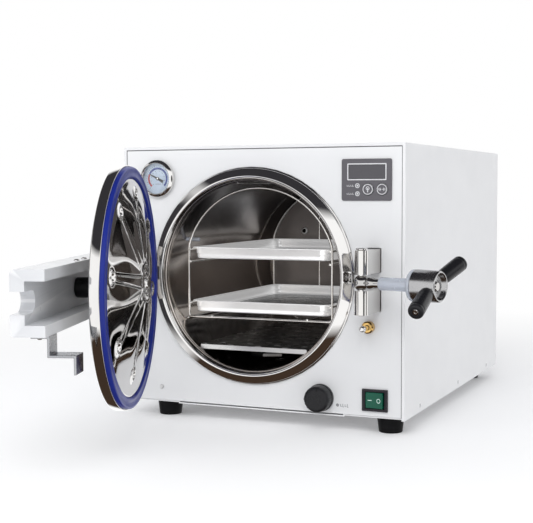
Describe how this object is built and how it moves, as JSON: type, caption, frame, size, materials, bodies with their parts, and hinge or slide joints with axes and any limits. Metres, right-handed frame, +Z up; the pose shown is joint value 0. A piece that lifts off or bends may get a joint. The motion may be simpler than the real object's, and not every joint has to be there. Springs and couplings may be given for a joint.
{
  "type": "benchtop autoclave",
  "caption": "Benchtop steam autoclave with a horizontal round chamber, side-hinged disc door on a channel bar, swing-bolt latch, two trays, gauge, display, valve knob and switch.",
  "frame": {"origin": "centre of the base pan's underside, 20 mm above the bench", "axes": "+X to the right of someone facing the front, +Y to the back, +Z up; the rest pose has the door open"},
  "size_m": [0.4859, 0.9603, 0.37],
  "materials": {
    "white_paint": "satin powder coat",
    "polished_steel": "polished stainless steel",
    "satin_steel": "satin stainless steel",
    "bar_finish": "smooth light grey coat over a casting",
    "black_plastic": "satin",
    "rubber_black": "matt",
    "gasket_blue": "satin silicone",
    "clear_plastic": "translucent, slightly frosted",
    "brass": "bright",
    "display_grey": "satin film",
    "display_glass": "gloss smoked window",
    "dial_white": "printed dial",
    "glass": "clear",
    "rocker_green": "gloss translucent",
    "board_green": "circuit board",
    "insulation": "mineral felt",
    "plug_white": "satin"
  },
  "bodies": {
    "cabinet": {"cover": "white_paint", "front_panel": "white_paint", "base_pan": "satin_steel", "foot_front_left": "rubber_black", "foot_front_right": "rubber_black", "foot_rear_left": "rubber_black", "foot_rear_right": "rubber_black", "rear_panel": "white_paint", "front_frame": "satin_steel", "chamber": "polished_steel", "chamber_flange": "polished_steel", "insulation": "insulation", "heater_element": "polished_steel", "baffle_plate": "satin_steel", "temperature_probe": "clear_plastic", "tray_rack": "polished_steel", "hinge_bracket": "polished_steel", "hinge_pin": "polished_steel", "latch_bracket": "polished_steel", "latch_pin": "polished_steel", "gauge_case": "black_plastic", "gauge_bezel": "polished_steel", "gauge_dial": "dial_white", "gauge_glass": "glass", "gauge_pipe": "brass", "display_panel": "display_grey", "display_window": "display_glass", "control_board": "board_green", "valve_body": "brass", "drain_pipe": "brass", "switch_housing": "black_plastic", "interlock_nut": "brass", "interlock_switch": "black_plastic", "vent_plug": "plug_white", "safety_valve": "brass", "exhaust_pipe": "brass", "power_inlet": "black_plastic"},
    "door": {"door_pan": "polished_steel", "door_gasket": "gasket_blue", "door_bar": "bar_finish", "door_boss": "black_plastic", "boss_bolt": "polished_steel", "striker_bracket": "satin_steel"},
    "eye_bolt": {"eye_bolt": "polished_steel", "bolt_sleeve": "clear_plastic"},
    "handle_carriage": {"thrust_washer": "clear_plastic"},
    "handle": {"handle_hub": "polished_steel", "grip_near": "black_plastic", "grip_far": "black_plastic"},
    "valve_knob": {"valve_knob": "black_plastic", "valve_stem": "polished_steel"},
    "switch_rocker": {"switch_rocker": "rocker_green"},
    "button_left": {"button_left": "display_grey"},
    "button_right": {"button_right": "display_grey"},
    "gauge_needle": {"gauge_needle": "black_plastic"},
    "interlock_plunger": {"interlock_plunger": "polished_steel"},
    "tray_upper": {"tray_upper": "satin_steel"},
    "tray_lower": {"tray_lower": "satin_steel"}
  },
  "joints": [
    {"name": "door_swing", "type": "hinge", "parent": "cabinet", "child": "door", "pos_m": [-0.1755, -0.337, 0.1777], "axis": [0, 0, 1], "range_deg": [-33, 72.4]},
    {"name": "bolt_swing", "type": "hinge", "parent": "cabinet", "child": "eye_bolt", "pos_m": [0.1604, -0.31, 0.1777], "axis": [0, 0, -1], "range_deg": [-8, 78]},
    {"name": "nut_feed", "type": "slide", "parent": "eye_bolt", "child": "handle_carriage", "axis": [-0.9781, 0.2079, 0], "range_m": [0, 0.024]},
    {"name": "handle_spin", "type": "hinge", "parent": "handle_carriage", "child": "handle", "pos_m": [0.1604, -0.31, 0.1777], "axis": [-0.9781, 0.2079, 0], "range_deg": [-1, 1441]},
    {"name": "valve_turn", "type": "hinge", "parent": "cabinet", "child": "valve_knob", "pos_m": [0.0885, -0.2615, 0.023], "axis": [0, 1, 0], "range_deg": [-80, 80]},
    {"name": "switch_tilt", "type": "hinge", "parent": "cabinet", "child": "switch_rocker", "pos_m": [0.1623, -0.261, 0.0243], "axis": [0, 0, 1], "range_deg": [0, 14]},
    {"name": "button_left_press", "type": "slide", "parent": "cabinet", "child": "button_left", "axis": [0, 1, 0], "range_m": [0, 0.001]},
    {"name": "button_right_press", "type": "slide", "parent": "cabinet", "child": "button_right", "axis": [0, 1, 0], "range_m": [0, 0.001]},
    {"name": "needle_sweep", "type": "hinge", "parent": "cabinet", "child": "gauge_needle", "pos_m": [-0.148, -0.2635, 0.307], "axis": [0, 1, 0], "range_deg": [-75, 190]},
    {"name": "plunger_press", "type": "slide", "parent": "cabinet", "child": "interlock_plunger", "axis": [0, 1, 0], "range_m": [0, 0.004]},
    {"name": "tray_upper_slide", "type": "slide", "parent": "cabinet", "child": "tray_upper", "axis": [0, 1, 0], "range_m": [-0.095, 0]},
    {"name": "tray_lower_slide", "type": "slide", "parent": "cabinet", "child": "tray_lower", "axis": [0, 1, 0], "range_m": [-0.095, 0]}
  ],
  "couplings": [
    {"joint": "handle_spin", "follows": "nut_feed", "rad_per_m": 1047.2}
  ]
}
